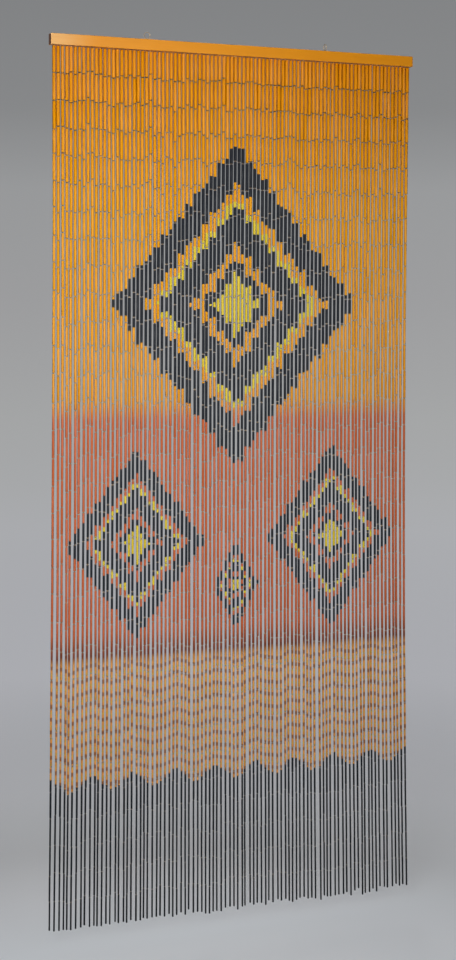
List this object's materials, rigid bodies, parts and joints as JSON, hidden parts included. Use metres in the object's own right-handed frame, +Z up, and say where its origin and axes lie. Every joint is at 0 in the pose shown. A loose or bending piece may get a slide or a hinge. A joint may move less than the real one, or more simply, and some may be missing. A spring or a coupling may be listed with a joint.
{
  "type": "bamboo door curtain with header rail",
  "caption": "String curtain for a doorway: strands of short painted bamboo tubes on wire links hang from a wooden header rail that is held by screw eyes.",
  "frame": {"origin": "centre of the header rail's top face", "axes": "+X along the rail, +Z up, and the front of the curtain faces -Y"},
  "size_m": [0.9, 0.02, 2.026],
  "materials": {
    "rail_wood": "orange lacquer, satin",
    "eye_wire": "plated wire",
    "painted_bamboo": "painted, semi-gloss",
    "link_wire": "galvanised wire"
  },
  "bodies": {
    "root": {"header_rail": "rail_wood", "eye_left": "eye_wire", "eye_right": "eye_wire", "bead_strands": "painted_bamboo"}
  },
  "joints": []
}
